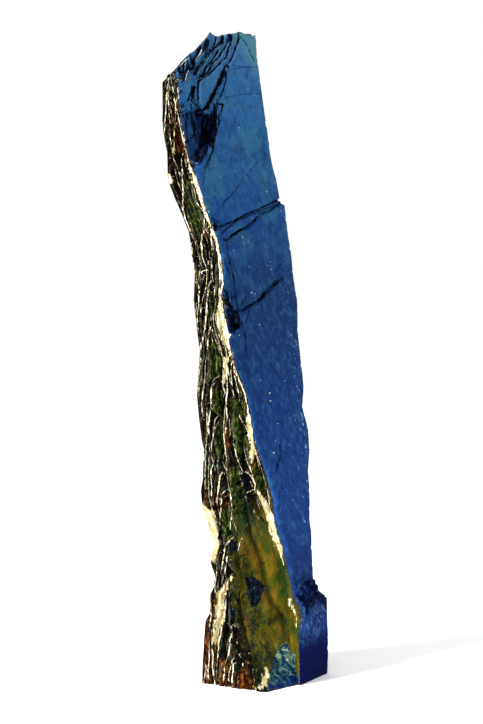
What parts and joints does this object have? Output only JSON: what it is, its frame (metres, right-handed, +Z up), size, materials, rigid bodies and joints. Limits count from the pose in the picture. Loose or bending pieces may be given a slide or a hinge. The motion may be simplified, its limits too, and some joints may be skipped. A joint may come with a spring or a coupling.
{
  "type": "standing slate slab",
  "caption": "Tall riven slate monolith standing on its flat foot: one broad cleavage face, one layered broken edge, thinning towards a ragged top.",
  "frame": {"origin": "on the ground under the middle of the slab's bounding box", "axes": "+Z up along the slab's length, -Y out of the broad cleavage face, +Y towards the rear cleavage face, -X towards the layered broken edge"},
  "size_m": [0.5285, 0.2682, 2],
  "materials": {
    "slate": "riven blue-grey slate, weathered olive and rust on the layered edge"
  },
  "bodies": {
    "root": {"slate_slab": "slate"}
  },
  "joints": []
}
